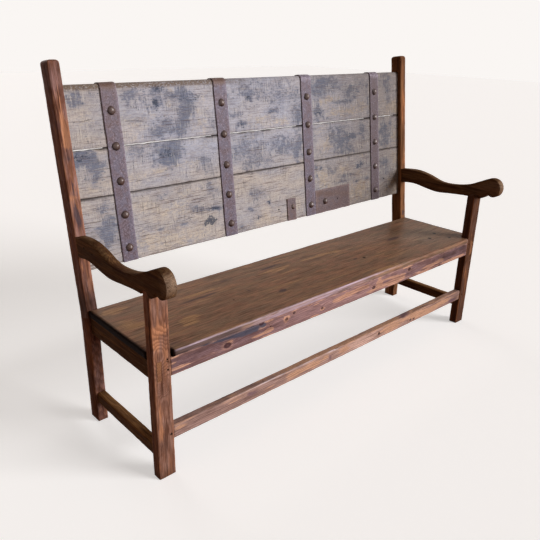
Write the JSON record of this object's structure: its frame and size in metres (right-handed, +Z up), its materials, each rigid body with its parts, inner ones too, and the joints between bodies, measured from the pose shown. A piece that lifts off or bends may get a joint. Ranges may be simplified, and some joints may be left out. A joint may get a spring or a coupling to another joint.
{
  "type": "settle bench",
  "caption": "Long wooden settle with scrolled arms, a solid seat and a raked plank back bound with riveted iron straps.",
  "frame": {"origin": "on the floor, under the middle of the bounding box", "axes": "+X along the bench to the sitter's left hand, +Y from the front to the back, +Z up"},
  "size_m": [1.838, 0.6814, 1.2756],
  "materials": {
    "stained_pine": "dark walnut stain, satin wax",
    "seat_pine": "dark walnut stain, satin, worn",
    "door_planks": "weathered, clear matt sealer",
    "wrought_iron": "aged, dull mauve-brown patina"
  },
  "bodies": {
    "root": {"apron_nail_lower_left": "wrought_iron", "apron_nail_lower_right": "wrought_iron", "apron_nail_upper_left": "wrought_iron", "apron_nail_upper_right": "wrought_iron", "arm_left": "stained_pine", "arm_right": "stained_pine", "back_plank_lower": "door_planks", "back_plank_middle": "door_planks", "back_plank_upper": "door_planks", "clavo_1_1": "wrought_iron", "clavo_1_2": "wrought_iron", "clavo_1_3": "wrought_iron", "clavo_1_4": "wrought_iron", "clavo_1_5": "wrought_iron", "clavo_2_1": "wrought_iron", "clavo_2_2": "wrought_iron", "clavo_2_3": "wrought_iron", "clavo_2_4": "wrought_iron", "clavo_2_5": "wrought_iron", "clavo_3_1": "wrought_iron", "clavo_3_2": "wrought_iron", "clavo_3_3": "wrought_iron", "clavo_3_4": "wrought_iron", "clavo_3_5": "wrought_iron", "clavo_4_1": "wrought_iron", "clavo_4_2": "wrought_iron", "clavo_4_3": "wrought_iron", "clavo_4_4": "wrought_iron", "clavo_4_5": "wrought_iron", "front_apron": "stained_pine", "front_leg_left": "stained_pine", "front_leg_right": "stained_pine", "front_stretcher": "stained_pine", "iron_strap_1": "wrought_iron", "iron_strap_2": "wrought_iron", "iron_strap_3": "wrought_iron", "iron_strap_4": "wrought_iron", "latch_plate": "wrought_iron", "latch_plate_clavo": "wrought_iron", "rear_apron": "stained_pine", "rear_post_left": "stained_pine", "rear_post_right": "stained_pine", "seat_bearer_left": "stained_pine", "seat_bearer_right": "stained_pine", "seat_board": "seat_pine", "side_apron_left": "stained_pine", "side_apron_right": "stained_pine", "side_stretcher_left": "stained_pine", "side_stretcher_right": "stained_pine", "small_strap": "wrought_iron", "small_strap_clavo": "wrought_iron", "stretcher_nail_left": "wrought_iron", "stretcher_nail_right": "wrought_iron"}
  },
  "joints": []
}
